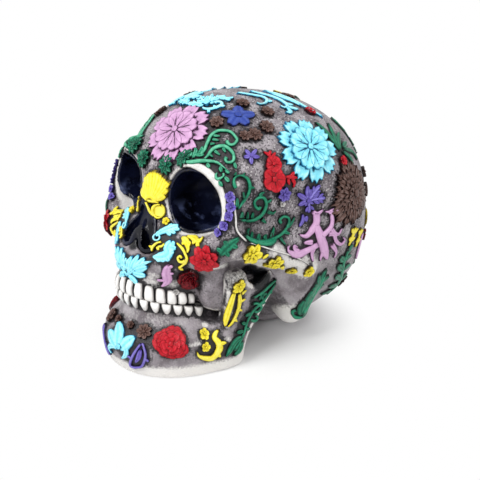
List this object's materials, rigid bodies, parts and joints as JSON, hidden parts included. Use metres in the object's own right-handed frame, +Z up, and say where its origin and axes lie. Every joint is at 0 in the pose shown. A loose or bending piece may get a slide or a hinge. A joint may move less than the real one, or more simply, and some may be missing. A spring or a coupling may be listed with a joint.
{
  "type": "sugar skull ornament",
  "caption": "Life-size cast skull ornament with clenched teeth, glossy dark eye and nose hollows, and raised painted flowers, scrolls and leaves all over.",
  "frame": {"origin": "on the surface that the skull stands on, below the middle of its bounding box", "axes": "+X towards the skull's left, +Y from its face to the back of its head, +Z up"},
  "size_m": [0.1532, 0.2019, 0.1625],
  "materials": {
    "casting": "matt grey resin with a black wash and white dry-brushed edges",
    "ivory": "satin white paint",
    "ink": "gloss blue-black paint",
    "pink": "satin paint",
    "turquoise": "satin paint",
    "blue": "satin paint",
    "green": "satin paint",
    "red": "satin paint",
    "crimson": "satin paint",
    "yellow": "satin paint",
    "purple": "satin paint",
    "brown": "satin paint"
  },
  "bodies": {
    "root": {"cranium": "casting", "lower_jaw": "casting", "socket_lining_left": "ink", "socket_lining_right": "ink", "nose_lining": "ink", "upper_teeth": "ivory", "lower_teeth": "ivory", "dahlia_pink_forehead": "pink", "scroll_turquoise_crown": "turquoise", "shell_yellow_nose": "yellow", "lily_turquoise_chin": "turquoise", "dahlia_turquoise_back": "turquoise", "flower_red_back": "red", "lily_yellow_back": "yellow", "flower_blue_crown_left": "blue", "flower_blue_crown_right": "blue", "dahlia_turquoise_side_left": "turquoise", "dahlia_turquoise_side_right": "turquoise", "fan_green_side_left": "green", "fan_green_side_right": "green", "scroll_green_brow_left": "green", "scroll_green_brow_right": "green", "flower_red_temple_left": "red", "flower_red_temple_right": "red", "lily_purple_side_left": "purple", "lily_purple_side_right": "purple", "dahlia_brown_side_left": "brown", "dahlia_brown_side_right": "brown", "scroll_pink_side_left": "pink", "scroll_pink_side_right": "pink", "leaf_green_low_left": "green", "leaf_green_low_right": "green", "leaf_green_rear_left": "green", "leaf_green_rear_right": "green", "scroll_green_temple_left": "green", "scroll_green_temple_right": "green", "scroll_green_arch_left": "green", "scroll_green_arch_right": "green", "swirl_turquoise_top_left": "turquoise", "swirl_turquoise_top_right": "turquoise", "flower_yellow_arch_left": "yellow", "flower_yellow_arch_right": "yellow", "flower_red_cheek_left": "red", "flower_red_cheek_right": "red", "rose_crimson_cheek_left": "crimson", "rose_crimson_cheek_right": "crimson", "leaf_turquoise_lip_left": "turquoise", "leaf_turquoise_lip_right": "turquoise", "rose_red_jaw_left": "red", "rose_red_jaw_right": "red", "scroll_yellow_jaw_left": "yellow", "scroll_yellow_jaw_right": "yellow", "crescent_yellow_ramus_left": "yellow", "crescent_yellow_ramus_right": "yellow", "scroll_purple_back_left": "purple", "scroll_purple_back_right": "purple", "flower_yellow_back_left": "yellow", "flower_yellow_back_right": "yellow"}
  },
  "joints": []
}
